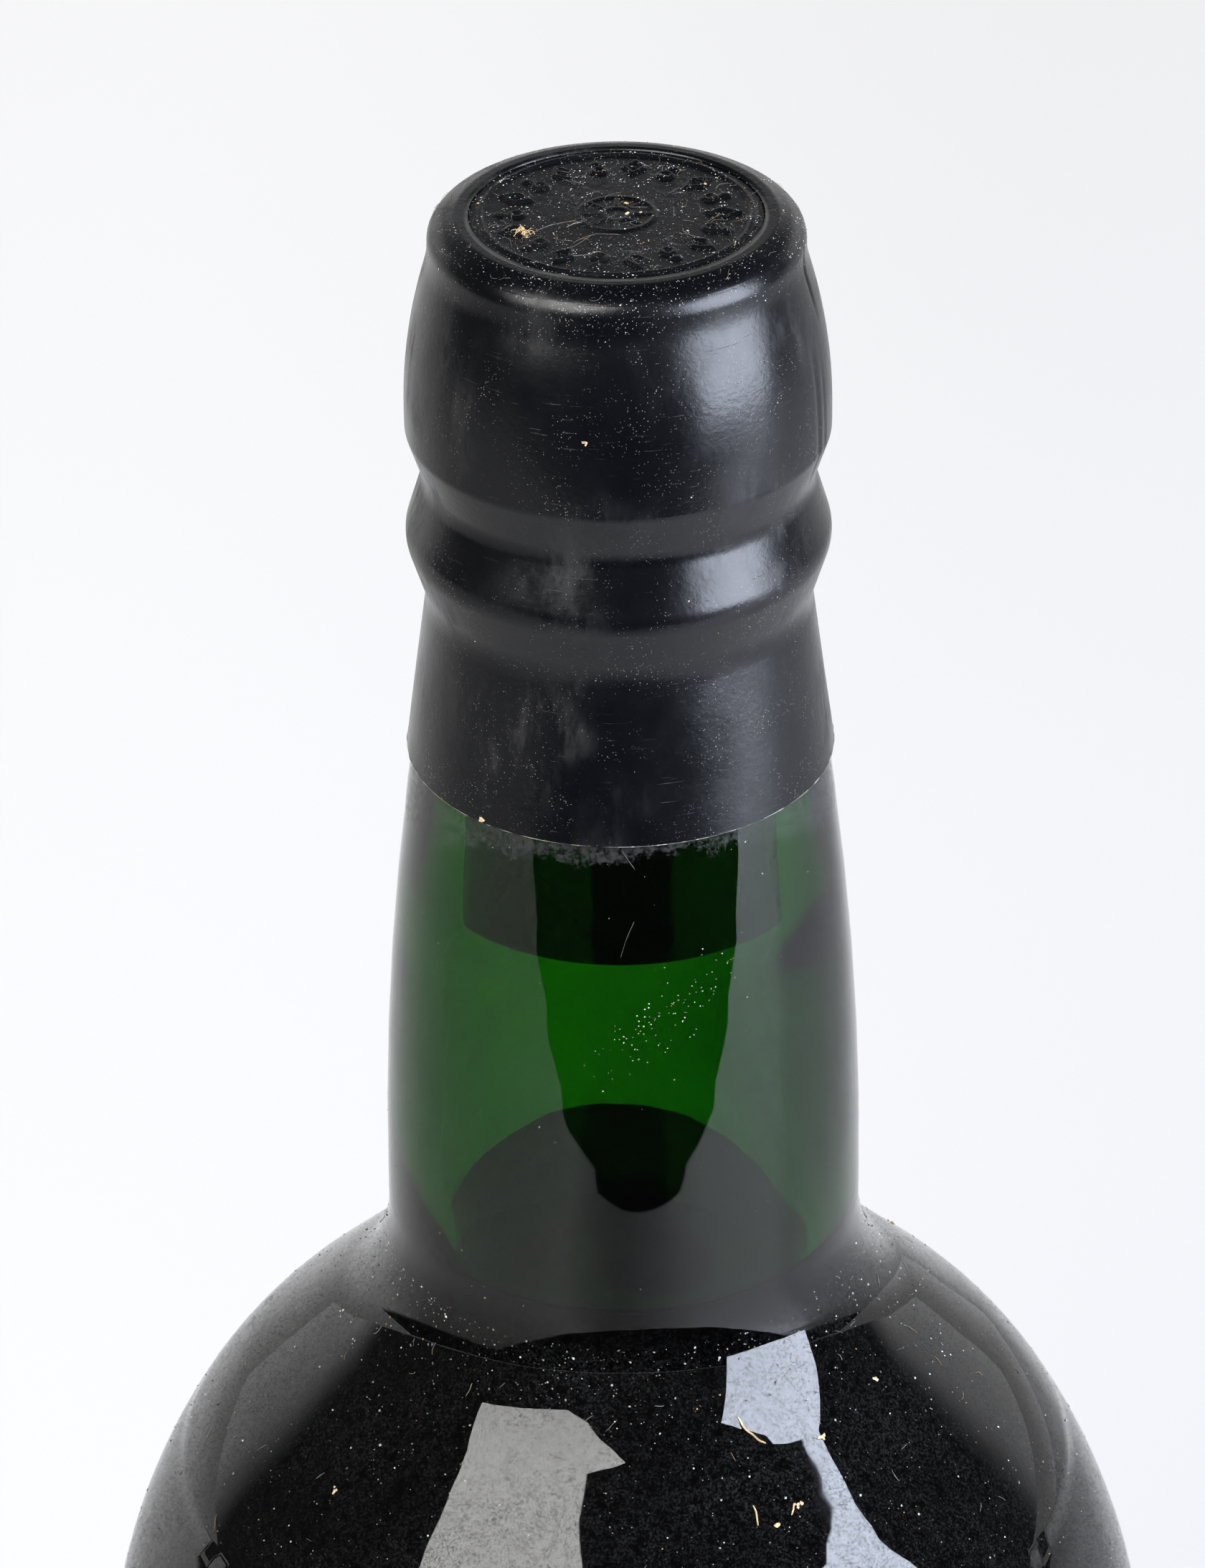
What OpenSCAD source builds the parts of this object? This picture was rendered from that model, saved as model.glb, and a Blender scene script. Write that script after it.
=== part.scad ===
// Corked and sealed wine bottle with a bulbous neck, filled to the foot of the neck.
// Origin at the middle of the base, +Z up, all sizes in millimetres.

/* [Bottle] */
// Height of the glass, base to lip
bottle_h = 290.2; // [260:0.1:360]
// Diameter of the straight body
body_d = 80; // [70:0.5:100]
// Thickness of the body and shoulder wall
wall = 3.7; // [2.4:0.1:5]
// Thickness of the glass under the wine
base_t = 6; // [4:0.5:10]
// Height of the push-up in the base
punt_h = 13; // [6:0.5:30]
// Radius of the push-up's rounded crown
punt_crown_r = 22; // [10:1:30]
// Inner diameter of the ring that the bottle stands on
stand_ring_d = 60; // [50:0.5:64]
// Radius of the heel
heel_r = 6; // [4.5:0.5:8]

/* [Shoulder] */
// Lean of the lower part of the shoulder, from the vertical
lower_lean = 30; // [24:0.5:34]
// Lean of the upper part of the shoulder, from the vertical
upper_lean = 46; // [40:0.5:55]
// Radius of the lower curve of the shoulder
lower_curve = 48.5; // [40:0.5:60]
// Radius of the upper curve of the shoulder
upper_curve = 31; // [20:0.5:36]
// Radius of the hollow at the foot of the neck
foot_curve = 14.4; // [8:0.1:16]

/* [Neck] */
// Distance from the lip down to the foot of the neck
neck_h = 85; // [80:0.5:110]
// Widest diameter of the neck
neck_d = 34.7; // [30:0.1:38]
// Distance from the lip down to where the neck's sides turn inward
neck_bend_depth = 60.6; // [54:0.1:66]
// Radius of the neck's bulge
neck_curve = 245; // [180:5:280]
// Diameter of the bore at the lip
mouth_d = 18.6; // [17.5:0.1:21]
// Length of the straight bore below the lip
mouth_straight = 4; // [2:0.5:10]
// Diameter of the bore at the lower end of the cork
cork_end_d = 23.6; // [21:0.1:25]
// Diameter of the bore at the foot of the neck
bore_foot_d = 26; // [24:0.1:27]

/* [Finish of the neck] */
// Diameter of the lip
lip_d = 28.7; // [27:0.1:30]
// Distance from the lip's top down to its lower edge
lip_h = 18.7; // [16:0.1:20]
// Distance from the lip's lower edge up to its widest part
lip_rise = 3.6; // [2.5:0.1:5]
// Distance from the lip's lower edge up to where it starts to close in
lip_shoulder = 10.2; // [8:0.1:12]
// Radius of the lip's rounded side
lip_curve = 38; // [20:1:40]
// Height of the lip's rounded top
lip_top_h = 2.4; // [2:0.1:4]
// Diameter of the lip's top
lip_top_d = 25; // [24.4:0.1:25.8]
// Diameter of the groove under the lip
waist_d = 26.3; // [25.5:0.1:27.5]
// Diameter of the ring
ring_d = 29.1; // [28.2:0.1:30.5]
// Height of the ring, groove to groove
ring_h = 9.2; // [8:0.1:11]
// Diameter of the groove under the ring
throat_d = 26.15; // [25.4:0.05:27]

/* [Capsule] */
// Height of the capsule, top to lower edge
capsule_h = 41.2; // [38:0.1:60]
// Thickness of the capsule
capsule_t = 0.45; // [0.3:0.05:0.6]
// Diameter of the capsule at its top edge
capsule_top_d = 25.9; // [25.6:0.1:27]
// Width of the sloping rim round the capsule's flat top
rim_w = 1.9; // [1:0.1:2.4]
// Height of the sloping rim
rim_h = 0.85; // [0.4:0.05:1.2]
// Diameter of the hole in the top that shows the disc
window_d = 20.2; // [16:0.1:21]
// How far the disc reaches under the capsule's rim
disc_lap = 1.2; // [0.6:0.1:1.6]
// Thickness of the disc's edge
disc_t = 0.35; // [0.3:0.05:0.6]
// How far the disc's face lies below the rim
disc_drop = 0.12; // [0.05:0.01:0.3]
// Height of the disc's raised pattern
relief_h = 0.25; // [0.1:0.05:0.4]
// Width of the raised rings
relief_w = 0.5; // [0.3:0.1:0.8]
// Distance from the window's edge in to the outer raised ring
relief_inset = 0.9; // [0.6:0.1:1.5]
// Radius of the inner raised ring
hub_r = 2.6; // [2:0.1:4]
// Number of raised marks round the disc
marks = 18; // [10:2:24]
// Radius of the larger marks
mark_r = 0.95; // [0.5:0.05:1.1]

/* [Contents] */
// Length of the cork
cork_l = 51.4; // [38:0.1:54]
// Distance from the lip down to the wine
ullage = 79.7; // [60:0.1:84]

/* [Hidden] */
$fn = 96;
turn_step = 4;

body_r = body_d / 2;
neck_r = neck_d / 2;
ring_in_r = stand_ring_d / 2;
top_z = bottle_h + disc_t + capsule_t;
face_z = top_z - disc_drop;
capsule_edge_z = top_z - capsule_h;
wine_z = bottle_h - ullage;
cork_end_z = bottle_h - cork_l;
foot_z = bottle_h - neck_h;
bend_z = bottle_h - neck_bend_depth;

// Small roundings: the standing ring, the grooves, the ring, the lip and the capsule's rim.
stand_round = 3;
throat_round = 5;
ring_round = 3;
waist_round = 2.5;
lip_low_round = 1.6;
lip_top_round = 1.5;
crease_round = 1.6;
edge_round = 0.9;
bore_round = 60;

// An outline is a list of corners [r, z, radius], and each corner is rounded by its radius.
function unit(v) = v / norm(v);
function flat(lists) = [for (l = lists) each l];
function arc(mid, r, a, b) =
    let (turn = (b - a + 540) % 360 - 180, n = max(2, ceil(abs(turn) / turn_step)))
    [for (i = [0:n]) mid + r * [cos(a + turn * i / n), sin(a + turn * i / n)]];
function rounded_corner(before, corner, after, r) =
    let (
        u = unit(before - corner),
        v = unit(after - corner),
        half = acos(u * v) / 2,
        mid = corner + unit(u + v) * r / sin(half),
        from = corner + u * r / tan(half) - mid,
        to = corner + v * r / tan(half) - mid
    )
    arc(mid, r, atan2(from.y, from.x), atan2(to.y, to.x));
function place(corner) = [corner.x, corner.y];
function rounded(c) = flat([
    for (i = [0:len(c) - 1])
        c[i].z == 0
            ? [place(c[i])]
            : rounded_corner(place(c[i - 1]), place(c[i]), place(c[i + 1]), c[i].z)
]);

// Corners of the shoulder, low to high, for a wall set in by t from the outside.
lower_run = lower_curve * tan(lower_lean / 2);
upper_run = upper_curve * tan((upper_lean - lower_lean) / 2);
knee_r = body_r - (lower_run + upper_run) * sin(lower_lean);
knee_z = foot_z - (knee_r - neck_r) / tan(upper_lean);
start_z = knee_z - (lower_run + upper_run) * cos(lower_lean);
knee_lean = (lower_lean + upper_lean) / 2;
knee_mitre = 1 / cos((upper_lean - lower_lean) / 2);
function shoulder(t) = [
    [body_r - t, start_z - t * tan(lower_lean / 2), lower_curve - t],
    [
        knee_r - t * knee_mitre * cos(knee_lean),
        knee_z - t * knee_mitre * sin(knee_lean),
        upper_curve - t
    ]
];
// Height at which the shoulder's slope, set in by t, reaches radius r.
function slope_z(r, t) = foot_z - (r - neck_r + t / cos(upper_lean)) / tan(upper_lean);

// Corners of the neck's finish, low to high, for a skin set out by t from the glass.
waist_z = bottle_h - lip_h;
throat_z = waist_z - ring_h;
lip_top_z = bottle_h - lip_top_h;
function finish(t) = [
    [throat_d / 2 + t, throat_z, throat_round],
    [ring_d / 2 + t, (waist_z + throat_z) / 2, ring_round],
    [waist_d / 2 + t, waist_z, waist_round],
    [lip_d / 2 + t, waist_z + lip_rise, lip_low_round],
    [lip_d / 2 + t, waist_z + lip_shoulder, lip_curve]
];
// Radius of the neck's straight taper at height z.
function taper_r(z) = neck_r + (throat_d / 2 - neck_r) * (z - bend_z) / (throat_z - bend_z);

outside = rounded(concat(
    [
        [0, punt_h, 0],
        [ring_in_r / 2, punt_h, punt_crown_r],
        [ring_in_r, 0, stand_round],
        [body_r, 0, heel_r]
    ],
    shoulder(0),
    [[neck_r, foot_z, foot_curve], [neck_r, bend_z, neck_curve]],
    finish(0),
    [
        [lip_top_d / 2, lip_top_z, lip_top_round],
        [lip_top_d / 2, bottle_h, lip_top_round],
        [0, bottle_h, 0]
    ]
));

inside = rounded(concat(
    [
        [0, punt_h + base_t, 0],
        [ring_in_r / 2, punt_h + base_t, punt_crown_r],
        [ring_in_r - stand_round, base_t, stand_round],
        [body_r - wall, base_t, heel_r - stand_round]
    ],
    shoulder(wall),
    [
        [bore_foot_d / 2, slope_z(bore_foot_d / 2, wall), foot_curve],
        [bore_foot_d / 2, wine_z, bore_round],
        [cork_end_d / 2, cork_end_z, bore_round],
        [mouth_d / 2, bottle_h - mouth_straight, bore_round],
        [mouth_d / 2, bottle_h, 0],
        [0, bottle_h, 0]
    ]
));

capsule_outside = rounded(concat(
    [[0, capsule_edge_z, 0], [taper_r(capsule_edge_z) + capsule_t, capsule_edge_z, 0]],
    finish(capsule_t),
    [
        [capsule_top_d / 2, lip_top_z, crease_round],
        [capsule_top_d / 2, top_z - rim_h, edge_round],
        [capsule_top_d / 2 - rim_w, top_z, edge_round],
        [0, top_z, 0]
    ]
));

module bottle_blank() {
    rotate_extrude() polygon(outside);
}

module cavity() {
    rotate_extrude() polygon(inside);
}

// The cavity between two heights.
module cavity_part(from_z, to_z) {
    intersection() {
        cavity();
        translate([0, 0, from_z]) cylinder(r = body_r, h = to_z - from_z);
    }
}

module bottle() {
    color([0.02, 0.16, 0.03, 0.6])
        difference() {
            bottle_blank();
            cavity();
        }
}

module wine() {
    color([0.12, 0.01, 0.02]) cavity_part(0, wine_z);
}

module cork() {
    color([0.72, 0.55, 0.38]) cavity_part(cork_end_z, bottle_h);
}

// Thin disc under the capsule's rim, with its face showing through the window.
module disc_blank() {
    translate([0, 0, bottle_h]) {
        cylinder(d = window_d + 2 * disc_lap, h = disc_t);
        cylinder(d = window_d, h = face_z - bottle_h);
    }
}

module raised_ring(r) {
    difference() {
        cylinder(r = r + relief_w / 2, h = relief_h);
        cylinder(r = r - relief_w / 2, h = relief_h);
    }
}

// A lozenge, or the smaller round stud between two lozenges.
module mark(lozenge) {
    if (lozenge) cylinder(r = mark_r, h = relief_h, $fn = 4);
    else cylinder(r = mark_r / 2, h = relief_h);
}

module top_disc() {
    outer_ring_r = window_d / 2 - relief_inset;
    marks_r = outer_ring_r - 2 * mark_r;
    color([0.07, 0.07, 0.08]) {
        disc_blank();
        translate([0, 0, face_z]) {
            raised_ring(outer_ring_r);
            raised_ring(hub_r);
            for (i = [0:marks - 1])
                rotate(360 / marks * i)
                    translate([marks_r, 0, 0])
                        mark(i % 2 == 0);
        }
    }
}

module capsule() {
    color([0.06, 0.06, 0.07])
        difference() {
            rotate_extrude() polygon(capsule_outside);
            bottle_blank();
            disc_blank();
            translate([0, 0, bottle_h]) cylinder(d = window_d, h = capsule_h);
        }
}

bottle();
wine();
cork();
capsule();
top_disc();
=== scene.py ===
"""A corked, sealed wine bottle of dark green glass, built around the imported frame. Metres, +Z up."""

import math
import random

import bpy
import numpy as np
from mathutils import Matrix, Vector, noise


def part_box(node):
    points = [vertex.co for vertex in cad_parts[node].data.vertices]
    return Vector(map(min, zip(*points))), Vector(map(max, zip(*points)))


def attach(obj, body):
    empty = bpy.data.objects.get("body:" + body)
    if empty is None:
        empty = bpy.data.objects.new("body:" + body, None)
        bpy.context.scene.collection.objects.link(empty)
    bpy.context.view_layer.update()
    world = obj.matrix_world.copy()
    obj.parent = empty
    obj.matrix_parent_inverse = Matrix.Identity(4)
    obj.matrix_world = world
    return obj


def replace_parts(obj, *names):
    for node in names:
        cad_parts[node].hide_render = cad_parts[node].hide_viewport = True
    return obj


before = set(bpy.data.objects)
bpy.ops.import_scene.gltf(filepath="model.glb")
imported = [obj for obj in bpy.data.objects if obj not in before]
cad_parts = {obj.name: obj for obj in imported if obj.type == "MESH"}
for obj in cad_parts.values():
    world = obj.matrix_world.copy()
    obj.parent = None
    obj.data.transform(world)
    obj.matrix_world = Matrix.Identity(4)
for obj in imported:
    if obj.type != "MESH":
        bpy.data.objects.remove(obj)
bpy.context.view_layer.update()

MM = 0.001
TAU = 2 * math.pi

# ---------------------------------------------------------------- sizes, in millimetres
BOTTLE_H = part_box("bottle")[1].z / MM
BODY_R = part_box("bottle")[1].x / MM
EDGE_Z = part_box("capsule")[0].z / MM
TOP_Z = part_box("capsule")[1].z / MM
WINE_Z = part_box("wine")[1].z / MM
CORK_END_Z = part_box("cork")[0].z / MM

WALL = 3.7
BASE_T = 6
PUNT_H = 13
RING_IN_R = 30
NECK_R = 17.35
FOOT_Z = BOTTLE_H - 85
BEND_Z = BOTTLE_H - 60.6
LOWER_LEAN, UPPER_LEAN = 30, 46
LOWER_CURVE, UPPER_CURVE = 48.5, 31
WAIST_Z = BOTTLE_H - 18.7
THROAT_Z = WAIST_Z - 9.2
THROAT_R = 13.075
LIP_TOP_Z = BOTTLE_H - 2.4
CAPSULE_T = 0.45
CAPSULE_TOP_R = 12.95
WINDOW_R = 10.1
DISC_R = WINDOW_R - 0.04
DISC_DROP = 0.12
CORK_GAP = 0.06
CORK_END_R = 11.73
# The bore's shift to the left, and a radius between those of the bore and the neck's outer skin.
BORE_OFFSET = 0.5
BORE_MOST_R = 14.4


def tan_deg(a):
    return math.tan(math.radians(a))


# ---------------------------------------------------------------- outlines
def rounded(corners, step=1.5):
    """Points along a line of corners [r, z, radius], each rounded by its radius."""
    line = []
    for i, (r, z, radius) in enumerate(corners):
        here = Vector((r, z))
        if radius == 0:
            line.append(here)
            continue
        u = (Vector(corners[i - 1][:2]) - here).normalized()
        v = (Vector(corners[i + 1][:2]) - here).normalized()
        half = math.acos(max(-1, min(1, u.dot(v)))) / 2
        mid = here + (u + v).normalized() * radius / math.sin(half)
        start = here + u * radius / math.tan(half) - mid
        turn = start.angle_signed(here + v * radius / math.tan(half) - mid)
        steps = max(3, math.ceil(abs(math.degrees(turn)) / step))
        for k in range(steps + 1):
            a = -turn * k / steps
            line.append(mid + Matrix.Rotation(a, 2) @ start)
    return line


def shoulder(t):
    lower_run = LOWER_CURVE * tan_deg(LOWER_LEAN / 2)
    upper_run = UPPER_CURVE * tan_deg((UPPER_LEAN - LOWER_LEAN) / 2)
    run = lower_run + upper_run
    knee_r = BODY_R - run * math.sin(math.radians(LOWER_LEAN))
    knee_z = FOOT_Z - (knee_r - NECK_R) / tan_deg(UPPER_LEAN)
    start_z = knee_z - run * math.cos(math.radians(LOWER_LEAN))
    lean = math.radians((LOWER_LEAN + UPPER_LEAN) / 2)
    mitre = t / math.cos(math.radians((UPPER_LEAN - LOWER_LEAN) / 2))
    return [
        (BODY_R - t, start_z - t * tan_deg(LOWER_LEAN / 2), LOWER_CURVE - t),
        (knee_r - mitre * math.cos(lean), knee_z - mitre * math.sin(lean), UPPER_CURVE - t),
    ]


def slope_z(r, t):
    return FOOT_Z - (r - NECK_R + t / math.cos(math.radians(UPPER_LEAN))) / tan_deg(UPPER_LEAN)


def finish(t):
    return [
        (THROAT_R + t, THROAT_Z, 5),
        (14.55 + t, (WAIST_Z + THROAT_Z) / 2, 3),
        (13.15 + t, WAIST_Z, 2.5),
        (14.35 + t, WAIST_Z + 3.6, 1.6),
        (14.35 + t, WAIST_Z + 10.2, 38),
    ]


def outside():
    return [
        (0, PUNT_H, 0),
        (RING_IN_R / 2, PUNT_H, 22),
        (RING_IN_R, 0, 3),
        (BODY_R, 0, 6),
        *shoulder(0),
        (NECK_R, FOOT_Z, 14.4),
        (NECK_R, BEND_Z, 245),
        *finish(0),
        (12.5, LIP_TOP_Z, 1.5),
        (12.5, BOTTLE_H, 1.5),
        (9.3, BOTTLE_H, 0),
    ]


def inside(grow=0):
    """The cavity's outline from the floor up to the lip, let into the glass by grow."""
    t = WALL - grow
    return [
        (0, PUNT_H + BASE_T - grow, 0),
        (RING_IN_R / 2, PUNT_H + BASE_T - grow, 22),
        (RING_IN_R - 3, BASE_T - grow, 3),
        (BODY_R - t, BASE_T - grow, 3),
        *shoulder(t),
        (13 + grow, slope_z(13 + grow, t), 14.4),
        (13 + grow, WINE_Z, 60),
        (11.8 + grow, CORK_END_Z, 60),
        (9.3 + grow, BOTTLE_H - 4, 60),
        (9.3 + grow, BOTTLE_H, 0),
    ]


def resample(line, gap):
    """The same line with no two neighbours further apart than gap."""
    out = [line[0]]
    for a, b in zip(line, line[1:]):
        n = max(1, math.ceil((b - a).length / gap))
        out += [a.lerp(b, k / n) for k in range(1, n + 1)]
    return out


def cut_above(line, z):
    """The part of a rising line below z, ended exactly at z."""
    out = []
    for a, b in zip(line, line[1:]):
        out.append(a)
        if a.y < z <= b.y:
            out.append(a.lerp(b, (z - a.y) / (b.y - a.y)))
            return out
    return out


# ---------------------------------------------------------------- mesh helpers
def new_object(name, mesh):
    obj = bpy.data.objects.new(name, mesh)
    bpy.context.scene.collection.objects.link(obj)
    return obj


def lathe(name, line, turns=192, shift=None):
    """A surface of revolution from a line of (r, z) in millimetres.

    shift(r, a, z), where given, says how far each point moves outward.
    """
    mesh = bpy.data.meshes.new(name)
    verts, rings = [], []
    for r, z in line:
        if r < 1e-6:
            rings.append([len(verts)])
            verts.append((0, 0, z * MM))
            continue
        rings.append(list(range(len(verts), len(verts) + turns)))
        for k in range(turns):
            a = TAU * k / turns
            rr = r + (shift(r, a, z) if shift else 0)
            verts.append((rr * math.cos(a) * MM, rr * math.sin(a) * MM, z * MM))
    faces = []
    for low, high in zip(rings, rings[1:]):
        for k in range(turns):
            n = (k + 1) % turns
            quad = [low[k % len(low)], low[n % len(low)], high[n % len(high)], high[k % len(high)]]
            face = list(dict.fromkeys(quad))
            if len(face) > 2:
                faces.append(face)
    mesh.from_pydata(verts, [], faces)
    mesh.shade_smooth()
    mesh.update()
    return new_object(name, mesh)


# ---------------------------------------------------------------- node helpers
class Nodes:
    """Short calls for building one material's node tree."""

    def __init__(self, name):
        self.material = bpy.data.materials.new(name)
        self.material.use_nodes = True
        self.tree = self.material.node_tree
        self.tree.nodes.clear()
        self.out = self.tree.nodes.new("ShaderNodeOutputMaterial")
        self.coords = self.tree.nodes.new("ShaderNodeTexCoord").outputs["Object"]

    def add(self, kind, inputs=None, **settings):
        node = self.tree.nodes.new(kind)
        for key, value in settings.items():
            setattr(node, key, value)
        for key, value in (inputs or {}).items():
            socket = node.inputs[key]
            if isinstance(value, bpy.types.NodeSocket):
                self.tree.links.new(value, socket)
            else:
                socket.default_value = value
        return node

    def math(self, operation, *values, clamp=False):
        node = self.add("ShaderNodeMath", operation=operation, use_clamp=clamp)
        for socket, value in zip(node.inputs, values):
            if isinstance(value, bpy.types.NodeSocket):
                self.tree.links.new(value, socket)
            else:
                socket.default_value = value
        return node.outputs[0]

    def span(self, value, low, high, to_low=0.0, to_high=1.0, smooth=True):
        node = self.add(
            "ShaderNodeMapRange",
            {"Value": value, "From Min": low, "From Max": high, "To Min": to_low, "To Max": to_high},
            interpolation_type="SMOOTHSTEP" if smooth else "LINEAR",
        )
        return node.outputs["Result"]

    def scaled(self, x, y, z, turn=0):
        node = self.add("ShaderNodeMapping", {"Vector": self.coords, "Scale": (x, y, z)})
        node.inputs["Rotation"].default_value[2] = turn
        return node.outputs["Vector"]

    def noise(self, scale, detail=2.0, roughness=0.5, vector=None):
        node = self.add(
            "ShaderNodeTexNoise",
            {"Vector": vector or self.coords, "Scale": scale, "Detail": detail, "Roughness": roughness},
        )
        return node.outputs["Fac"]

    def mix(self, share, a, b):
        node = self.add("ShaderNodeMix", data_type="RGBA")
        for socket, value in ((node.inputs[0], share), (node.inputs[6], a), (node.inputs[7], b)):
            if isinstance(value, bpy.types.NodeSocket):
                self.tree.links.new(value, socket)
            else:
                socket.default_value = value
        return node.outputs[2]

    def xyz(self):
        return self.add("ShaderNodeSeparateXYZ", {"Vector": self.coords}).outputs

    def bump(self, height, distance, strength=1.0, normal=None):
        inputs = {"Height": height, "Distance": distance, "Strength": strength}
        if normal is not None:
            inputs["Normal"] = normal
        return self.add("ShaderNodeBump", inputs).outputs["Normal"]

    def specks(self, scale, size, share):
        """Dots of a size, as a share of the gap between them, on that share of a random grid's cells."""
        cell = self.add("ShaderNodeTexVoronoi", {"Vector": self.coords, "Scale": scale})
        dot = self.span(cell.outputs["Distance"], size, size * 1.3, 1, 0)
        pick = self.add("ShaderNodeSeparateColor", {"Color": cell.outputs["Color"]}).outputs[0]
        return self.math("MULTIPLY", dot, self.math("LESS_THAN", pick, share))

    def surface(self, shader):
        self.tree.links.new(shader, self.out.inputs["Surface"])
        return self.material


def rgb(r, g, b):
    return (r, g, b, 1.0)


# ---------------------------------------------------------------- camera
# A long lens looks down at the neck from the front.
PITCH = math.radians(30.75)
ROLL = math.radians(-0.52)
DISTANCE = 476.3
LENS = 153.98
# The point where the bottle's axis crosses the capsule's lower edge, in the view: right and up of its middle.
AIM_RIGHT, AIM_UP = 1.273, 3.386


def make_camera():
    forward = Vector((0, math.cos(PITCH), -math.sin(PITCH)))
    side = Vector((1, 0, 0))
    over = side.cross(forward)
    right = math.cos(ROLL) * side + math.sin(ROLL) * over
    up = -math.sin(ROLL) * side + math.cos(ROLL) * over
    place = Vector((0, 0, EDGE_Z)) - (AIM_RIGHT * right + AIM_UP * up + DISTANCE * forward)
    data = bpy.data.cameras.new("camera")
    data.lens = LENS
    data.sensor_width = 36
    data.clip_start = 0.01
    camera = bpy.data.objects.new("camera", data)
    turn = Matrix((right, up, -forward)).transposed()
    camera.matrix_world = Matrix.Translation(place * MM) @ turn.to_4x4()
    bpy.context.scene.collection.objects.link(camera)
    bpy.context.scene.camera = camera


make_camera()

# ---------------------------------------------------------------- materials
GLASS_COLOR = rgb(0.31, 0.69, 0.01)
GLASS_DENSITY = 880.0


def glass_material():
    n = Nodes("green_glass")
    ripples = n.noise(60, 3, 0.5, n.scaled(1, 1, 0.5))
    glass = n.add(
        "ShaderNodeBsdfPrincipled",
        {
            "Base Color": rgb(1, 1, 1),
            "Roughness": 0.02,
            "IOR": 1.51,
            "Transmission Weight": 1.0,
            "Normal": n.bump(ripples, 0.0004, 0.3),
        },
    )
    volume = n.add("ShaderNodeVolumeAbsorption", {"Color": GLASS_COLOR, "Density": GLASS_DENSITY})
    n.tree.links.new(volume.outputs[0], n.out.inputs["Volume"])
    return n.surface(glass.outputs[0])


def wine_material():
    n = Nodes("red_wine")
    tone = n.noise(30, 2)
    wine = n.add(
        "ShaderNodeBsdfPrincipled",
        {
            "Base Color": n.mix(tone, rgb(0.005, 0.0003, 0.0005), rgb(0.010, 0.0005, 0.0008)),
            "Roughness": 0.03,
            "Specular IOR Level": 0.01,
        },
    )
    return n.surface(wine.outputs[0])


def cork_material():
    n = Nodes("cork")
    grain = n.noise(900, 4, 0.6)
    pits = n.span(n.noise(420, 2, 0.5, n.scaled(1, 1, 0.5)), 0.36, 0.44)
    color = n.mix(grain, rgb(0.006, 0.003, 0.0025), rgb(0.012, 0.007, 0.005))
    cork = n.add(
        "ShaderNodeBsdfPrincipled",
        {
            "Base Color": n.mix(pits, rgb(0.002, 0.0015, 0.0012), color),
            "Roughness": 0.85,
            "Normal": n.bump(pits, 0.0003, 0.8),
        },
    )
    return n.surface(cork.outputs[0])


def plastic_material(name, rough_low, rough_high, bloom_amount, speck_share, gloss):
    """Black shrunk plastic: a satin skin with rubbed patches, fine scratches round it and settled dust."""
    n = Nodes(name)
    haze = n.noise(150, 4, 0.6)
    rubs = n.noise(420, 4, 0.7, n.scaled(1, 1, 0.35))
    scratches = n.span(n.noise(800, 3, 0.7, n.scaled(0.3, 0.3, 9)), 0.66, 0.82)
    patches = n.span(n.noise(75, 2, 0.5), 0.48, 0.66)
    bloom = n.math("MULTIPLY", patches, n.span(rubs, 0.42, 0.68))
    base = n.mix(haze, rgb(0.0006, 0.0008, 0.0016), rgb(0.0015, 0.0019, 0.0034))
    filmed = n.mix(n.math("MULTIPLY", bloom, bloom_amount), base, rgb(0.16, 0.155, 0.15))
    scraped = n.mix(n.math("MULTIPLY", scratches, 0.05), filmed, rgb(0.3, 0.3, 0.3))
    thick = n.span(n.noise(230, 3, 0.7), 0.42, 0.66)
    fine = n.math("MAXIMUM", n.specks(5200, 0.15, speck_share), n.specks(8300, 0.2, speck_share))
    dust = n.math("MULTIPLY", n.math("MULTIPLY", fine, 0.4), thick)
    shade = n.mix(n.noise(900, 1), rgb(0.30, 0.28, 0.25), rgb(0.75, 0.73, 0.68))
    rough = n.math("ADD", n.span(haze, 0.3, 0.7, rough_low, rough_high), n.math("MULTIPLY", bloom, 0.25))
    relief = n.bump(n.noise(2600, 3, 0.6), 0.00003, 0.5, n.bump(haze, 0.0002, 0.25))
    plastic = n.add(
        "ShaderNodeBsdfPrincipled",
        {
            "Base Color": n.mix(dust, scraped, shade),
            "Roughness": n.math("ADD", rough, n.math("MULTIPLY", dust, 0.4), clamp=True),
            "Specular IOR Level": gloss,
            "Normal": n.bump(scratches, 0.00004, 0.4, relief),
        },
    )
    return n.surface(plastic.outputs[0])


def particle_material(name, dark, pale, tan, tan_share, rarity=1.0):
    """Grains, lint and crumbs: each takes its own tone from a random grid wider than a grain."""
    n = Nodes(name)
    cell = n.add("ShaderNodeTexVoronoi", {"Vector": n.coords, "Scale": 1300.0})
    parts = n.add("ShaderNodeSeparateColor", {"Color": cell.outputs["Color"]}).outputs
    tone = n.mix(n.math("POWER", parts[0], rarity), dark, pale)
    color = n.mix(n.math("LESS_THAN", parts[1], tan_share), tone, tan)
    matt = n.add(
        "ShaderNodeBsdfPrincipled",
        {
            "Base Color": n.mix(n.span(n.noise(6000, 2), 0.35, 0.65, 0, 0.35), color, dark),
            "Roughness": 0.9,
            "Specular IOR Level": 0.2,
        },
    )
    return n.surface(matt.outputs[0])


# Heights in metres between which the shoulder's dust fades out, above and below, and the film's tone turns.
DUST_TOP = (0.2055, 0.2125)
DUST_LOW = (0.125, 0.185)
TONE_TURN = (0.215, 0.225)

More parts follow.
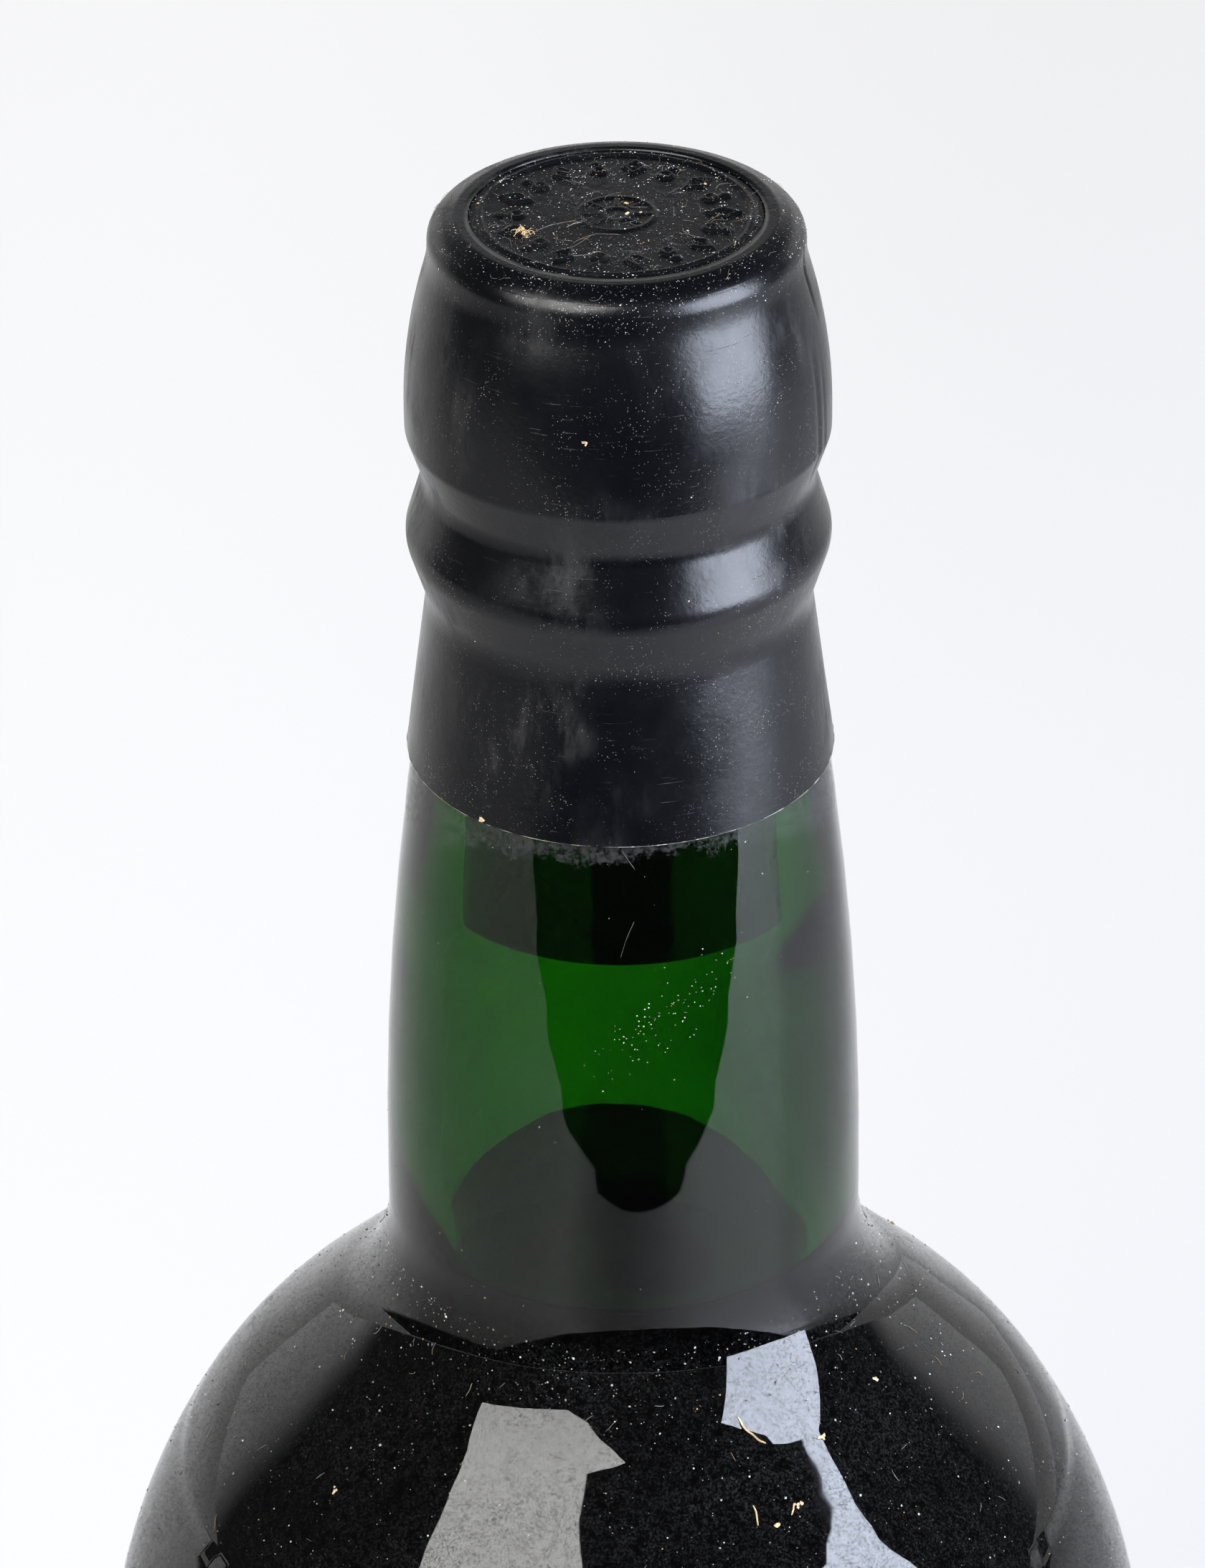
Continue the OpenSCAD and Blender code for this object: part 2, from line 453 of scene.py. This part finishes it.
def film_material():
    """Settled dust: a ragged band under the capsule and a fine grain over the shoulder."""
    n = Nodes("dust_film")
    x, _, z = n.xyz()
    below_edge = n.math("SUBTRACT", EDGE_Z * MM, z)
    sides = n.math("MULTIPLY", n.span(n.math("ABSOLUTE", x), 0.0085, 0.0145), 0.003)
    waves = n.math("ADD", n.span(n.noise(170, 3, 0.6), 0.3, 0.7, 0.0004, 0.0024, smooth=False), sides)
    torn = n.span(n.noise(2400, 4, 0.8), 0.3, 0.7, -0.0007, 0.0007, smooth=False)
    inside_band = n.math("SUBTRACT", waves, n.math("ADD", below_edge, torn))
    band = n.span(inside_band, -0.00008, 0.0003)
    weak = n.span(n.noise(2300, 4, 0.8), 0.36, 0.64, 0.1, 1.5)
    band = n.math("MULTIPLY", band, n.math("MULTIPLY", weak, 0.075))
    fine = n.span(n.noise(5200, 4, 0.85), 0.47, 0.6)
    clumps = n.span(n.noise(1300, 3, 0.8), 0.36, 0.6)
    grain = n.math("MULTIPLY", fine, clumps)
    clouds = n.span(n.noise(110, 4, 0.65), 0.3, 0.7, 0.35, 1.0)
    lower = n.math("MULTIPLY", n.span(z, *DUST_TOP, 1, 0), n.span(z, *DUST_LOW))
    settled = n.math("MULTIPLY", n.math("MULTIPLY", grain, clouds), n.math("MULTIPLY", lower, 0.2))
    mask = n.math("MAXIMUM", band, settled)
    tone = n.mix(n.span(z, *TONE_TURN), rgb(0.04, 0.04, 0.043), rgb(0.15, 0.15, 0.155))
    film = n.add(
        "ShaderNodeBsdfPrincipled",
        {"Base Color": tone, "Roughness": 0.95, "Specular IOR Level": 0.1, "Alpha": mask},
    )
    return n.surface(film.outputs[0])


# ---------------------------------------------------------------- the bottle and what it holds
def wobble(amount, scale, seed):
    """A small unevenness of a turned skin, in millimetres."""
    def shift(r, a, z):
        place = Vector((r * math.cos(a), r * math.sin(a), z)) * scale + Vector((seed, 0, 0))
        return amount * noise.noise(place)
    return shift


def ease(value, low, high):
    t = max(0.0, min(1.0, (value - low) / (high - low)))
    return t * t * (3 - 2 * t)


def uneven_bore(r, a, z):
    """The blown neck's wall is a little thinner on the left, between the wine and the cork."""
    if r > BORE_MOST_R or z < WINE_Z:
        return 0
    return -BORE_OFFSET * math.cos(a) * ease(z, WINE_Z, WINE_Z + 7) * ease(CORK_END_Z - z, 0, 6)


def make_bottle():
    out_line = resample(rounded(outside()), 2.5)
    in_line = resample(rounded(inside()), 1.2)
    glass = lathe("glass_shell", out_line + in_line[-2::-1], turns=256, shift=uneven_bore)
    glass.data.materials.append(glass_material())
    return glass


def make_wine():
    line = cut_above(resample(rounded(inside(0.1)), 2.5), WINE_Z)
    wine = lathe("wine_fill", line + [Vector((0, WINE_Z))], turns=128)
    wine.data.materials.append(wine_material())
    return wine


def make_cork():
    line = [p for p in resample(rounded(inside(-CORK_GAP)), 2.0) if p.y > CORK_END_Z and p.x > 0]
    line = [Vector((0, CORK_END_Z)), Vector((CORK_END_R, CORK_END_Z)), *line, Vector((0, BOTTLE_H))]
    cork = lathe("cork_body", line, turns=128)
    cork.data.materials.append(cork_material())
    return cork


def taper_r(z):
    return NECK_R + (THROAT_R - NECK_R) * (z - BEND_Z) / (THROAT_Z - BEND_Z)


def capsule_line():
    return [
        (taper_r(EDGE_Z) + CAPSULE_T, EDGE_Z, 0),
        *finish(CAPSULE_T),
        (CAPSULE_TOP_R, LIP_TOP_Z + 0.2, 6.5),
        (CAPSULE_TOP_R, TOP_Z - 0.65, 1.8),
        (CAPSULE_TOP_R - 1.9, TOP_Z, 0.9),
        (WINDOW_R, TOP_Z, 0),
    ]


# Folds in the shrunk sleeve: angle, from height, to height, depth, half width.
SLEEVE_FOLDS = [
    (-22, 272, 284, 0.10, 0.25),
    (-17, 273, 282, 0.07, 0.2),
    (-12, 284, 290, 0.16, 0.18),
    (35, 262, 285, 0.09, 0.3),
    (128, 252, 270, 0.08, 0.3),
    (171, 274, 288, 0.08, 0.25),
]

def fold(r, a, z):
    """How far the sleeve's skin moves outward, in millimetres. Its folds and its crease move it in."""
    depth = 0.05 * noise.noise(Vector((2.2 * math.cos(a), 2.2 * math.sin(a), z / 9)))
    for angle, low, high, deep, width in SLEEVE_FOLDS:
        off = (a - math.radians(angle) + math.pi) % TAU - math.pi
        reach = max(0, min(1, (z - low) / 2, (high - z) / 2))
        depth -= deep * reach * math.exp(-((off * r / width) ** 2))
    return depth if z < TOP_Z - 0.8 else 0



def make_sleeve():
    out_line = resample(rounded(capsule_line()), 0.5)
    in_line = [Vector((WINDOW_R, TOP_Z - 0.4)), Vector((12.4, BOTTLE_H + 0.1))]
    in_line += [p - Vector((CAPSULE_T - 0.05, 0)) for p in out_line[::-1] if p.y < LIP_TOP_Z]
    sleeve = lathe("capsule_sleeve", out_line + in_line + [out_line[0]], turns=384, shift=fold)
    skin = plastic_material(
        "capsule_plastic", rough_low=0.22, rough_high=0.31, bloom_amount=0.08, speck_share=0.12, gloss=0.42
    )
    sleeve.data.materials.append(skin)
    return sleeve


# ---------------------------------------------------------------- the disc's relief
MARKS = 18
MARK_RING_R = 7.3
RELIEF_H = 0.25
RING_R = 9.3
HUB_R = 2.6
DISC_RINGS = 90
DISC_TURNS = 400


def ridge(distance, half):
    """A rounded ridge, 1 at its middle and 0 beyond about twice its half width."""
    return math.exp(-((distance / half) ** 4))


def mark_height(u, v, kind):
    """One raised lozenge or stud, at u round the ring and v outward from its middle, in millimetres."""
    if kind == 0:
        lozenge = abs(u) / 0.78 + abs(v) / 1.15
        return max(ridge(lozenge - 0.85, 0.27), 0.55 * ridge(lozenge, 0.3))
    return max(ridge(math.hypot(u, v - 0.62) - 0.02, 0.36), ridge(math.hypot(u, v + 0.5) - 0.42, 0.2))


def disc_relief(r, a):
    """The height of the disc's face above its ground, from 0 to 1."""
    height = max(ridge(r - RING_R, 0.22), 0.6 * ridge(r - HUB_R, 0.2), 0.45 * ridge(r - 0.95, 0.24))
    if 5.6 < r < 8.9:
        step = TAU / MARKS
        index = round(a / step)
        height = max(height, mark_height((a - index * step) * r, r - MARK_RING_R, index % 2))
    if 1.2 < r < 2.4:
        step = TAU / 8
        index = round(a / step)
        height = max(height, 0.5 * ridge((a - index * step) * r, 0.16))
    worn = 0.75 + 0.25 * noise.noise(Vector((r * math.cos(a), r * math.sin(a), 0)) * 0.35)
    return height * worn


def make_disc():
    face = TOP_Z - DISC_DROP
    flat = [Vector((r, face)) for r in np.linspace(DISC_R, 0.0, DISC_RINGS)]
    disc = lathe("seal_disc", [Vector((DISC_R, BOTTLE_H)), *flat], turns=DISC_TURNS)
    for vertex in disc.data.vertices:
        if vertex.co.z > (face - 0.1) * MM:
            r, a = math.hypot(vertex.co.x, vertex.co.y) / MM, math.atan2(vertex.co.y, vertex.co.x)
            grit = 0.02 * noise.noise(vertex.co * 1400) + 0.03 * noise.noise(vertex.co * 260)
            vertex.co.z += (min(1, disc_relief(r, a)) * RELIEF_H * 0.96 + min(grit, 0)) * MM
    disc.data.update()
    skin = plastic_material(
        "disc_plastic", rough_low=0.36, rough_high=0.48, bloom_amount=0.02, speck_share=0.3, gloss=0.25
    )
    disc.data.materials.append(skin)
    return disc


# ---------------------------------------------------------------- dust, lint and crumbs
class Skin:
    """A turned outer surface, met by its height and its angle round the axis, in millimetres."""

    def __init__(self, line):
        self.line = sorted(line, key=lambda p: p.y)
        self.heights = [p.y for p in self.line]
        self.radii = [p.x for p in self.line]

    def at(self, angle, z, lift=0.0):
        r = float(np.interp(z, self.heights, self.radii))
        low, high = (float(np.interp(z + d, self.heights, self.radii)) for d in (-0.05, 0.05))
        slope = (high - low) / 0.1
        out = Vector((math.cos(angle), math.sin(angle), -slope)).normalized()
        return Vector((r * math.cos(angle), r * math.sin(angle), z)) + out * lift, out

    def step(self, angle, z, along, across):
        """The angle and height after moving so far round and so far up the surface."""
        r = float(np.interp(z, self.heights, self.radii))
        rise = float(np.interp(z + 0.1, self.heights, self.radii)) - r
        return angle + along / r, z + across * 0.1 / math.hypot(0.1, rise)


class Top:
    """The disc's flat face, met by x and y in millimetres."""

    height = TOP_Z - DISC_DROP

    def at(self, x, y, lift=0.0):
        a, r = math.atan2(y, x), math.hypot(x, y)
        z = self.height + RELIEF_H * 0.9 * (disc_relief(r, a) if r < WINDOW_R else 0.4)
        return Vector((x, y, z + lift)), Vector((0, 0, 1))

    def step(self, x, y, along, across):
        return x + along, y + across


GLASS_SKIN = Skin([p for p in resample(rounded(outside()), 1.0) if 90 < p.y < EDGE_Z])
SLEEVE_SKIN = Skin([p for p in resample(rounded(capsule_line()), 0.3) if p.y < TOP_Z - 0.02])
TOP = Top()


class Bits:
    """Collects many small solids into one mesh."""

    def __init__(self):
        self.verts, self.faces = [], []

    def grain(self, place, out, size, rng):
        """An uneven eight-sided grain lying on the surface."""
        side = out.orthogonal().normalized()
        side.rotate(Matrix.Rotation(rng.uniform(0, TAU), 3, out))
        third = out.cross(side)
        first = len(self.verts)
        flat = rng.uniform(0.3, 0.8)
        long = rng.uniform(0.8, 1.7)
        for axis, reach in ((side, long), (-side, 1), (third, 1), (-third, 1), (out, flat), (-out, flat)):
            self.verts.append(place + axis * size * reach * rng.uniform(0.7, 1.2) + out * size * flat * 0.4)
        for quad in ((0, 2), (2, 1), (1, 3), (3, 0)):
            self.faces.append((first + quad[0], first + quad[1], first + 4))
            self.faces.append((first + quad[1], first + quad[0], first + 5))

    def strand(self, surface, start, heading, length, radius, curl, rng, hump=0.0):
        """A thin thread lying along a surface, turning as it goes."""
        steps = max(6, int(length / 0.22))
        u, v = start
        path = []
        for k in range(steps + 1):
            lift = radius * 0.8 + hump * math.sin(math.pi * k / steps)
            path.append(surface.at(u, v, lift))
            heading += rng.uniform(-curl, curl) + curl * 0.15
            move = length / steps
            u, v = surface.step(u, v, math.cos(heading) * move, math.sin(heading) * move)
        self.tube(path, radius)

    def tube(self, path, radius, sides=5):
        first = len(self.verts)
        for k, (place, out) in enumerate(path):
            before, after = path[max(0, k - 1)][0], path[min(len(path) - 1, k + 1)][0]
            along = (after - before).normalized()
            side = along.cross(out).normalized()
            over = side.cross(along)
            taper = radius * (0.6 if k in (0, len(path) - 1) else 1)
            for j in range(sides):
                a = TAU * j / sides
                self.verts.append(place + (side * math.cos(a) + over * math.sin(a)) * taper)
        for k in range(len(path) - 1):
            for j in range(sides):
                a, b = first + k * sides + j, first + k * sides + (j + 1) % sides
                self.faces.append((a, b, b + sides, a + sides))
        last = first + (len(path) - 1) * sides
        self.faces.append(tuple(range(first + sides - 1, first - 1, -1)))
        self.faces.append(tuple(range(last, last + sides)))

    def build(self, name, material):
        mesh = bpy.data.meshes.new(name)
        mesh.from_pydata([v * MM for v in self.verts], [], self.faces)
        mesh.update()
        mesh.materials.append(material)
        return new_object(name, mesh)


def grain_size(rng, small, large):
    """Most grains are small and a few are large."""
    return small + (large - small) * rng.random() ** 5


# The shoulder's specks lie from a height down over a depth; a small cluster lies on the neck's front.
SPECKS_FROM_Z, SPECKS_DEPTH = 209, 60
CLUSTER_ANGLE, CLUSTER_Z = -79, 236.5

def make_grains():
    rng = random.Random(11)
    bits = Bits()
    for _ in range(1500):
        r, a = WINDOW_R * rng.random() ** 0.42, rng.uniform(0, TAU)
        place, out = TOP.at(r * math.cos(a), r * math.sin(a), 0.03)
        bits.grain(place, out, grain_size(rng, 0.035, 0.075), rng)
    for _ in range(1500):
        z = TOP_Z - 0.03 - 2.6 * rng.random() ** 1.9
        place, out = SLEEVE_SKIN.at(rng.uniform(0, TAU), z)
        bits.grain(place, out, grain_size(rng, 0.026, 0.06), rng)
    for _ in range(150):
        place, out = SLEEVE_SKIN.at(rng.uniform(0, TAU), rng.uniform(EDGE_Z, TOP_Z - 3))
        bits.grain(place, out, grain_size(rng, 0.014, 0.07), rng)
    for _ in range(7500):
        z = SPECKS_FROM_Z - SPECKS_DEPTH * rng.random() ** 1.3
        place, out = GLASS_SKIN.at(rng.uniform(0, TAU), z)
        bits.grain(place, out, grain_size(rng, 0.03, 0.11), rng)
    for _ in range(260):
        place, out = GLASS_SKIN.at(rng.uniform(0, TAU), rng.uniform(207, EDGE_Z - 1))
        bits.grain(place, out, grain_size(rng, 0.025, 0.07), rng)
    for _ in range(110):
        along = rng.gauss(0, 1)
        angle = math.radians(CLUSTER_ANGLE + 8 * along + rng.gauss(0, 5))
        place, out = GLASS_SKIN.at(angle, CLUSTER_Z + 2 * along + rng.gauss(0, 0.9))
        bits.grain(place, out, rng.uniform(0.035, 0.06), rng)
    pale, dark, tan = rgb(0.8, 0.78, 0.74), rgb(0.06, 0.058, 0.055), rgb(0.36, 0.24, 0.12)
    return bits.build("dust_grains", particle_material("dust_grains", dark, pale, tan, 0.06, 2.2))


def make_lint():
    rng = random.Random(23)
    bits = Bits()
    bits.strand(TOP, (-6.4, -3.6), 0.45, 4.6, 0.014, 0.12, rng, 0.15)
    bits.strand(TOP, (-3.4, -5.2), 0.1, 3.2, 0.012, 0.3, rng, 0.2)
    bits.strand(TOP, (-2.9, -4.3), 0.6, 3.4, 0.012, 0.2, rng, 0.2)
    bits.strand(TOP, (-3.1, -6.5), 0.05, 2.2, 0.014, 0.08, rng, 0.1)
    bits.strand(TOP, (-3.4, -2.0), 0.2, 1.2, 0.03, 0.4, rng, 0.1)
    for _ in range(70):
        r, a = 9.8 * math.sqrt(rng.random()), rng.uniform(0, TAU)
        start = (r * math.cos(a), r * math.sin(a))
        length = rng.uniform(0.4, 1.8)
        bits.strand(TOP, start, rng.uniform(0, TAU), length, rng.uniform(0.006, 0.011), 0.5, rng, 0.08)
    for _ in range(26):
        start = (rng.uniform(0, TAU), TOP_Z - rng.uniform(0.05, 1.0))
        bits.strand(SLEEVE_SKIN, start, rng.uniform(-0.4, 0.4), rng.uniform(0.5, 1.3), 0.009, 0.5, rng, 0.08)
    for _ in range(150):
        start = (rng.uniform(0, TAU), 205.5 - 50 * rng.random() ** 1.4)
        length = rng.uniform(0.4, 1.5)
        bits.strand(GLASS_SKIN, start, rng.uniform(0, TAU), length, rng.uniform(0.01, 0.018), 0.3, rng, 0.05)
    bits.strand(GLASS_SKIN, (math.radians(-90), 249.3), -0.95, 1.7, 0.008, 0.06, rng, 0.05)
    bits.strand(GLASS_SKIN, (math.radians(-87), 243.9), -1.95, 2.9, 0.008, 0.07, rng, 0.05)
    pale, dark, tan = rgb(0.3, 0.29, 0.27), rgb(0.1, 0.097, 0.09), rgb(0.22, 0.16, 0.09)
    return bits.build("lint_fibres", particle_material("lint_fibres", dark, pale, tan, 0.2))


# Larger crumbs on the sleeve and the glass: surface, angle, height, size.
CRUMB_PLACES = [
    (SLEEVE_SKIN, -99, 280.9, 0.13),
    (SLEEVE_SKIN, -130, 249.95, 0.16),
    (GLASS_SKIN, -50, 200.6, 0.17),
    (GLASS_SKIN, -60, 198.0, 0.16),
    (GLASS_SKIN, -65, 197.3, 0.19),
    (GLASS_SKIN, -31, 201.4, 0.17),
    (GLASS_SKIN, -142, 195.9, 0.15),
    (GLASS_SKIN, 40, 196.0, 0.17),
    (GLASS_SKIN, 120, 199.0, 0.15),
]
# Flat chips on the disc: x, y, size.
CHIP_PLACES = [
    (0.7, -0.1, 0.12),
    (1.6, -0.1, 0.12),
    (0.7, 1.6, 0.13),
    (6.1, 4.2, 0.1),
    (-9.4, 1.8, 0.09),
    (4.8, -2.7, 0.08),
]


def make_crumbs():
    rng = random.Random(5)
    bits = Bits()
    for _ in range(60):
        along = rng.gauss(0, 0.3)
        place, out = TOP.at(-6.3 + along * 0.35 + rng.gauss(0, 0.1), -2.9 - along, abs(rng.gauss(0, 0.14)))
        bits.grain(place, out, rng.uniform(0.04, 0.1), rng)
    for _ in range(7):
        start = (-6.3 + rng.uniform(-0.3, 0.3), -2.9 + rng.uniform(-0.4, 0.4))
        bits.strand(TOP, start, rng.uniform(0, TAU), rng.uniform(0.5, 0.9), 0.025, 0.8, rng, 0.2)
    for x, y, size in CHIP_PLACES:
        for _ in range(3):
            place, out = TOP.at(x + rng.gauss(0, size * 0.4), y + rng.gauss(0, size * 0.4), size * 0.2)
            bits.grain(place, out, size, rng)
    for surface, angle, z, size in CRUMB_PLACES:
        for _ in range(6):
            turn = math.radians(angle) + rng.gauss(0, size * 0.04)
            place, out = surface.at(turn, z + rng.gauss(0, size * 0.5))
            bits.grain(place + out * size * 0.2, out, size * rng.uniform(0.5, 1), rng)
    bits.strand(GLASS_SKIN, (math.radians(-66), 203.3), -1.2, 2.9, 0.07, 0.22, rng, 0.15)
    bits.strand(GLASS_SKIN, (math.radians(-68), 198.6), -1.5, 1.5, 0.06, 0.35, rng, 0.1)
    bits.strand(GLASS_SKIN, (math.radians(-62), 197.6), 0.5, 0.9, 0.06, 0.4, rng, 0.1)
    pale, dark, tan = rgb(0.74, 0.6, 0.38), rgb(0.33, 0.23, 0.13), rgb(0.6, 0.42, 0.22)
    return bits.build("crumbs", particle_material("crumbs", dark, pale, tan, 0.35))


def make_edge_dirt():
    """A thin uneven line of pale dirt caught under the sleeve's lower edge."""
    r = taper_r(EDGE_Z) + CAPSULE_T * 0.75
    low, high = (r, EDGE_Z - 0.04), (r, EDGE_Z + 0.04)
    section = [low, (r + 0.14, EDGE_Z), high, (r - 0.05, EDGE_Z), low]
    dirt = lathe("edge_dirt", [Vector(p) for p in section], turns=400, shift=wobble(0.07, 0.9, 4))
    dark, pale, tan = rgb(0.04, 0.04, 0.037), rgb(0.46, 0.44, 0.39), rgb(0.38, 0.3, 0.2)
    dirt.data.materials.append(particle_material("edge_dirt", dark, pale, tan, 0.15, 1.4))
    return dirt


def make_film():
    """A closed film whose two skins lie 0.02 and 0.05 mm off the glass."""
    line = cut_above([p for p in resample(rounded(outside()), 1.5) if p.y > 120], EDGE_Z - 0.02)
    outer = [p + Vector((0.05, 0.02)) for p in line]
    inner = [p + Vector((0.02, 0.0)) for p in reversed(line)]
    film = lathe("dust_film", outer + inner + [outer[0]], turns=192)
    film.data.materials.append(film_material())
    return film


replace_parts(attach(make_bottle(), "root"), "bottle")
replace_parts(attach(make_wine(), "root"), "wine")
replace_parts(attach(make_cork(), "root"), "cork")
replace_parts(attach(make_sleeve(), "root"), "capsule")
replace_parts(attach(make_disc(), "root"), "top_disc")
for make in (make_grains, make_lint, make_crumbs, make_edge_dirt, make_film):
    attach(make(), "root")


# ---------------------------------------------------------------- stage and lights
FLOOR_TONE = 0.63
ROOM_LIGHT = 0.90
# What mirrored rays see of the room: its dark front, and the light that its white back adds. The back
# begins between two values of a direction's Y, and ends between two of its Z.
FRONT_LIGHT, BACK_LIGHT = 0.06, 0.9
BACK_BEGINS = (0.42, 0.66)
BACK_ENDS = (0.2, 0.55)
# The painted shade shows the table's front edge this far in front of the bottle, and the softboxes face this
# point, in metres.
TABLE_FRONT = 0.385
NECK_FOOT = Vector((0, 0, 0.205))
# Directions of the two softboxes from the neck: azimuth 0 is the camera's side and 90 is the right.
# Corners are right and up of each one's middle, as shares of its distance.
RIGHT_PANEL = [
    (-0.37, -0.46), (0.42, -0.52), (0.34, 0.02), (0.275, 0.39), (0.17, 0.414), (0.08, 0.434), (0.0, 0.432),
    (-0.06, 0.34), (-0.39, 0.22),
]
LEFT_PANEL = [
    (-0.41, -0.38), (0.24, -0.41), (0.38, -0.26), (0.44, 0.05), (0.47, 0.22), (0.0, 0.235), (-0.41, 0.18),
]


def flat_card(name, corners, height, material):
    mesh = bpy.data.meshes.new(name)
    mesh.from_pydata([(x, y, height) for x, y in corners], [], [tuple(range(len(corners)))])
    mesh.materials.append(material)
    card = new_object(name, mesh)
    return card


def floor_material():
    n = Nodes("floor")
    x, y, _ = n.xyz()
    # Painted shade: the floor's tone is darker towards the front and towards the right.
    away = n.span(y, 0.2, 0.7, 0.84, 1.06, smooth=False)
    painted_floor_shade = n.math("MULTIPLY", away, n.span(x, -0.1, 0.1, 1.04, 0.95))
    warm = [FLOOR_TONE * c for c in (1.015, 1.0, 0.985)]
    parts = {axis: n.math("MULTIPLY", painted_floor_shade, part) for axis, part in zip("XYZ", warm)}
    tone = n.add("ShaderNodeCombineXYZ", parts).outputs[0]
    settings = {"Base Color": tone, "Roughness": 0.9, "Specular IOR Level": 0.0}
    paint = n.add("ShaderNodeBsdfPrincipled", settings)
    return n.surface(paint.outputs[0])


def shade_material():
    """Painted shade: a dark sheet over the floor, seen only by mirrored and transmitted rays, for the dark
    room beyond the table's front edge and sides, as the glass mirrors it and lets it through.

    Its soft fading over the table itself is painted shade, for mirrored rays only.
    """
    n = Nodes("room_shade")
    x, y, _ = n.xyz()
    bend = n.math("MULTIPLY", n.math("MINIMUM", n.math("ADD", x, 0.2), 0.0), 0.23)
    slant = n.math("ADD", n.math("MULTIPLY", n.math("MINIMUM", x, 0.3), 0.13), bend)
    beyond = n.math("SUBTRACT", n.math("SUBTRACT", slant, TABLE_FRONT), y)
    edge = n.span(beyond, -0.004, 0.004)
    middle = n.span(n.math("ABSOLUTE", n.math("ADD", x, 0.02)), 0.0, 0.3, 0.72, 0.1)
    # Painted shade over the table itself: darkest in front of the bottle's middle, softer on the left and the
    # right.
    front = n.math("MULTIPLY", n.span(beyond, -0.3, -0.08), middle)
    left = n.math("MULTIPLY", n.span(x, -0.5, 0.3, 0.6, 0.12), n.span(y, -0.05, 0.6, 1, 0))
    right = n.math("MULTIPLY", n.span(x, 0.12, 0.36, 0, 0.34), n.span(y, -0.14, -0.02))
    painted_table_shade = n.math("MAXIMUM", n.math("MAXIMUM", front, left), right)
    through = n.add("ShaderNodeLightPath").outputs["Is Transmission Ray"]
    painted_table_shade = n.math("MULTIPLY", painted_table_shade, n.math("SUBTRACT", 1.0, through))
    sides = n.math("MAXIMUM", n.span(x, -1.3, -1.05, 1, 0), n.span(x, 1.3, 1.5))
    mask = n.math("MAXIMUM", n.math("MAXIMUM", edge, sides), painted_table_shade)
    dark = n.add("ShaderNodeEmission", {"Color": rgb(0.9, 0.95, 1), "Strength": 0.03})
    clear = n.add("ShaderNodeBsdfTransparent")
    both = n.add("ShaderNodeMixShader", {0: mask, 1: clear.outputs[0], 2: dark.outputs[0]})
    return n.surface(both.outputs[0])


def glow_material(name, radiance, color, low, high):
    """A softbox's cloth, a little brighter towards its top."""
    n = Nodes(name)
    _, _, z = n.xyz()
    strength = n.span(z, low, high, 0.93 * radiance, 1.07 * radiance)
    return n.surface(n.add("ShaderNodeEmission", {"Color": color, "Strength": strength}).outputs[0])


def softbox(name, azimuth, elevation, distance, corners, radiance, color):
    """A glowing panel that faces the neck."""
    a, e = math.radians(azimuth), math.radians(elevation)
    towards = Vector((math.sin(a) * math.cos(e), -math.cos(a) * math.cos(e), math.sin(e)))
    right = Vector((math.cos(a), math.sin(a), 0))
    up = right.cross(-towards)
    middle = NECK_FOOT + towards * distance
    mesh = bpy.data.meshes.new(name)
    places = [middle + (right * u + up * v) * distance for u, v in corners]
    mesh.from_pydata(places, [], [tuple(range(len(corners)))])
    heights = [p.z for p in places]
    mesh.materials.append(glow_material(name, radiance, color, min(heights), max(heights)))
    panel = new_object(name, mesh)
    for ray in ("camera", "transmission", "shadow"):
        setattr(panel, f"visible_{ray}", False)


def make_world():
    """A pale even room for what is seen and lit, and for mirrored rays dark in front and white behind."""
    world = bpy.data.worlds.new("studio")
    bpy.context.scene.world = world
    world.use_nodes = True
    tree = world.node_tree
    nodes, links = tree.nodes, tree.links

    def node(kind, operation=None, *values):
        new = nodes.new(kind)
        if operation:
            new.operation = operation
        for socket, value in zip(new.inputs, values):
            if isinstance(value, bpy.types.NodeSocket):
                links.new(value, socket)
            else:
                socket.default_value = value
        return new.outputs[0]

    def span(value, low, high):
        new = nodes.new("ShaderNodeMapRange")
        new.interpolation_type = "SMOOTHSTEP"
        links.new(value, new.inputs["Value"])
        new.inputs["From Min"].default_value = low
        new.inputs["From Max"].default_value = high
        return new.outputs["Result"]

    direction = nodes.new("ShaderNodeSeparateXYZ")
    links.new(nodes.new("ShaderNodeTexCoord").outputs["Generated"], direction.inputs[0])
    back = span(direction.outputs["Y"], *BACK_BEGINS)
    low = node("ShaderNodeMath", "SUBTRACT", 1.0, span(direction.outputs["Z"], *BACK_ENDS))
    white = node("ShaderNodeMath", "MULTIPLY", back, low)
    mirrored = node("ShaderNodeMath", "MULTIPLY_ADD", white, BACK_LIGHT, FRONT_LIGHT)
    path = nodes.new("ShaderNodeLightPath")
    lit = node("ShaderNodeMath", "MAXIMUM", path.outputs["Is Camera Ray"], path.outputs["Is Diffuse Ray"])
    gap = node("ShaderNodeMath", "SUBTRACT", ROOM_LIGHT, mirrored)
    background = nodes["Background"]
    background.inputs["Color"].default_value = rgb(0.995, 0.995, 1.0)
    links.new(node("ShaderNodeMath", "MULTIPLY_ADD", lit, gap, mirrored), background.inputs["Strength"])


flat_card("floor", [(-5, -5), (5, -5), (5, 5), (-5, 5)], -0.0002, floor_material())
shade = flat_card("room_shade", [(-4, -4), (4, -4), (4, 0.75), (-4, 0.75)], 0.001, shade_material())
for ray in ("camera", "diffuse", "shadow"):
    setattr(shade, f"visible_{ray}", False)
softbox(
    "softbox_right", azimuth=63, elevation=18, distance=0.95,
    corners=RIGHT_PANEL, radiance=15.0, color=rgb(0.80, 0.87, 1.03),
)
softbox(
    "softbox_left", azimuth=-38, elevation=42, distance=1.1,
    corners=LEFT_PANEL, radiance=8.0, color=rgb(1.0, 0.995, 0.97),
)
make_world()
bpy.context.scene.view_settings.view_transform = "Standard"
